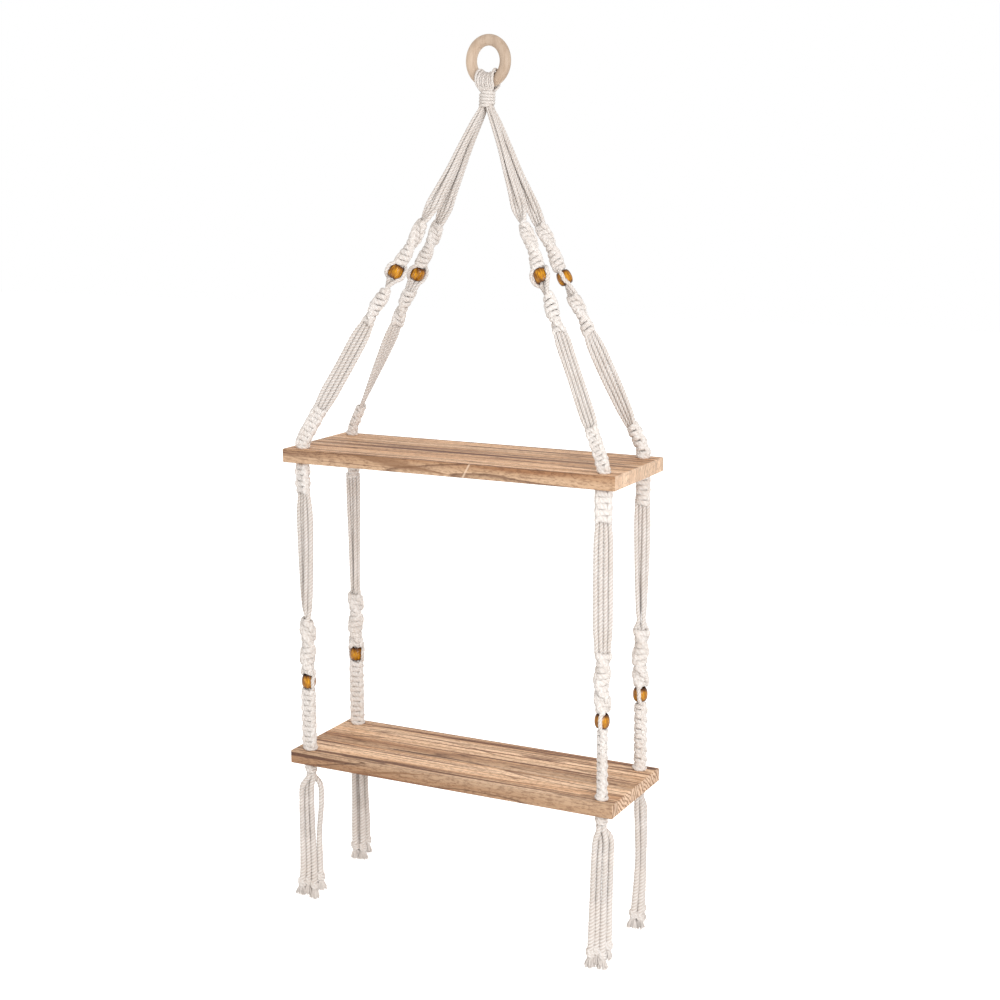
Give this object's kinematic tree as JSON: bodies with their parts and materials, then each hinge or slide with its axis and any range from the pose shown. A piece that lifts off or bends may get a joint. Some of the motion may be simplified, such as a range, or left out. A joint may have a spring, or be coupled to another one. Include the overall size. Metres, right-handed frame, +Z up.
{
  "type": "hanging rope shelf",
  "caption": "Wooden shelf boards hung level on knotted cotton cords from a wooden ring, with spiral half knots, barrel beads and tassels.",
  "frame": {"origin": "top of the ring's hole, where a hook carries the shelf", "axes": "+Z up, +Y into the wall, +X to the right along the boards seen from the front"},
  "size_m": [0.42, 0.137, 1.0229],
  "materials": {
    "cotton_cord": "twisted natural cotton cord",
    "board_wood": "satin, toasted long grain",
    "ring_wood": "smooth sanded beech",
    "bead_amber": "glossy amber lacquer"
  },
  "bodies": {
    "ring": {"ring": "ring_wood"},
    "hanger": {"head_loops": "cotton_cord", "head_wrap": "cotton_cord", "upper_shelf": "board_wood", "front_left_top_run": "cotton_cord", "front_left_upper_spiral": "cotton_cord", "front_left_middle_run": "cotton_cord", "front_left_shelf_knot": "cotton_cord", "front_right_top_run": "cotton_cord", "front_right_upper_spiral": "cotton_cord", "front_right_middle_run": "cotton_cord", "front_right_shelf_knot": "cotton_cord", "back_left_top_run": "cotton_cord", "back_left_upper_spiral": "cotton_cord", "back_left_middle_run": "cotton_cord", "back_left_shelf_knot": "cotton_cord", "back_right_top_run": "cotton_cord", "back_right_upper_spiral": "cotton_cord", "back_right_middle_run": "cotton_cord", "back_right_shelf_knot": "cotton_cord"},
    "front_left_rope": {"front_left_lower_run": "cotton_cord", "front_left_lower_sennit": "cotton_cord"},
    "front_right_rope": {"front_right_lower_run": "cotton_cord", "front_right_lower_sennit": "cotton_cord"},
    "back_left_rope": {"back_left_lower_run": "cotton_cord", "back_left_lower_sennit": "cotton_cord"},
    "back_right_rope": {"back_right_lower_run": "cotton_cord", "back_right_lower_sennit": "cotton_cord"},
    "lower_assembly": {"lower_shelf": "board_wood", "front_left_stopper_knot": "cotton_cord", "front_left_strand_1": "cotton_cord", "front_left_strand_2": "cotton_cord", "front_left_strand_3": "cotton_cord", "front_left_strand_4": "cotton_cord", "front_right_stopper_knot": "cotton_cord", "front_right_strand_1": "cotton_cord", "front_right_strand_2": "cotton_cord", "front_right_strand_3": "cotton_cord", "front_right_strand_4": "cotton_cord", "back_left_stopper_knot": "cotton_cord", "back_left_strand_1": "cotton_cord", "back_left_strand_2": "cotton_cord", "back_left_strand_3": "cotton_cord", "back_left_strand_4": "cotton_cord", "back_right_stopper_knot": "cotton_cord", "back_right_strand_1": "cotton_cord", "back_right_strand_2": "cotton_cord", "back_right_strand_3": "cotton_cord", "back_right_strand_4": "cotton_cord"},
    "front_left_upper_bead_body": {"front_left_upper_bead": "bead_amber"},
    "front_left_lower_bead_body": {"front_left_lower_bead": "bead_amber"},
    "front_right_upper_bead_body": {"front_right_upper_bead": "bead_amber"},
    "front_right_lower_bead_body": {"front_right_lower_bead": "bead_amber"},
    "back_left_upper_bead_body": {"back_left_upper_bead": "bead_amber"},
    "back_left_lower_bead_body": {"back_left_lower_bead": "bead_amber"},
    "back_right_upper_bead_body": {"back_right_upper_bead": "bead_amber"},
    "back_right_lower_bead_body": {"back_right_lower_bead": "bead_amber"}
  },
  "joints": [
    {"name": "hanger_swing", "type": "hinge", "parent": "ring", "child": "hanger", "pos_m": [0, 0, -0.0376], "axis": [-0.9925, 0.1219, 0], "range_deg": [0, 20]},
    {"name": "front_left_sway", "type": "hinge", "parent": "hanger", "child": "front_left_rope", "pos_m": [-0.191, -0.1055, -0.51535], "axis": [0, -1, 0], "range_deg": [-12, 12]},
    {"name": "front_right_sway", "type": "hinge", "parent": "hanger", "child": "front_right_rope", "pos_m": [0.191, -0.1055, -0.51535], "axis": [0, -1, 0], "range_deg": [-12, 12]},
    {"name": "back_left_sway", "type": "hinge", "parent": "hanger", "child": "back_left_rope", "pos_m": [-0.191, 0.0035, -0.51535], "axis": [0, -1, 0], "range_deg": [-12, 12]},
    {"name": "back_right_sway", "type": "hinge", "parent": "hanger", "child": "back_right_rope", "pos_m": [0.191, 0.0035, -0.51535], "axis": [0, -1, 0], "range_deg": [-12, 12]},
    {"name": "lower_shelf_level", "type": "hinge", "parent": "front_left_rope", "child": "lower_assembly", "pos_m": [-0.191, -0.1055, -0.81165], "axis": [0, -1, 0], "range_deg": [-12, 12]},
    {"name": "front_left_upper_bead_spin", "type": "hinge", "parent": "hanger", "child": "front_left_upper_bead_body", "pos_m": [-0.09209, -0.05417, -0.25038], "axis": [-0.4393, -0.228, -0.8689], "continuous": true},
    {"name": "front_left_lower_bead_spin", "type": "hinge", "parent": "front_left_rope", "child": "front_left_lower_bead_body", "pos_m": [-0.191, -0.1055, -0.736], "axis": [0, 0, -1], "continuous": true},
    {"name": "front_right_upper_bead_spin", "type": "hinge", "parent": "hanger", "child": "front_right_upper_bead_body", "pos_m": [0.09209, -0.05417, -0.25038], "axis": [0.4393, -0.228, -0.8689], "continuous": true},
    {"name": "front_right_lower_bead_spin", "type": "hinge", "parent": "front_right_rope", "child": "front_right_lower_bead_body", "pos_m": [0.191, -0.1055, -0.73], "axis": [0, 0, -1], "continuous": true},
    {"name": "back_left_upper_bead_spin", "type": "hinge", "parent": "hanger", "child": "back_left_upper_bead_body", "pos_m": [-0.09461, 0.00062, -0.25568], "axis": [-0.4518, 0.0135, -0.892], "continuous": true},
    {"name": "back_left_lower_bead_spin", "type": "hinge", "parent": "back_left_rope", "child": "back_left_lower_bead_body", "pos_m": [-0.191, 0.0035, -0.73], "axis": [0, 0, -1], "continuous": true},
    {"name": "back_right_upper_bead_spin", "type": "hinge", "parent": "hanger", "child": "back_right_upper_bead_body", "pos_m": [0.09461, 0.00062, -0.25568], "axis": [0.4518, 0.0135, -0.892], "continuous": true},
    {"name": "back_right_lower_bead_spin", "type": "hinge", "parent": "back_right_rope", "child": "back_right_lower_bead_body", "pos_m": [0.191, 0.0035, -0.73], "axis": [0, 0, -1], "continuous": true}
  ],
  "couplings": [
    {"joint": "front_right_sway", "follows": "front_left_sway", "ratio": 1},
    {"joint": "back_left_sway", "follows": "front_left_sway", "ratio": 1},
    {"joint": "back_right_sway", "follows": "front_left_sway", "ratio": 1},
    {"joint": "lower_shelf_level", "follows": "front_left_sway", "ratio": -1}
  ]
}
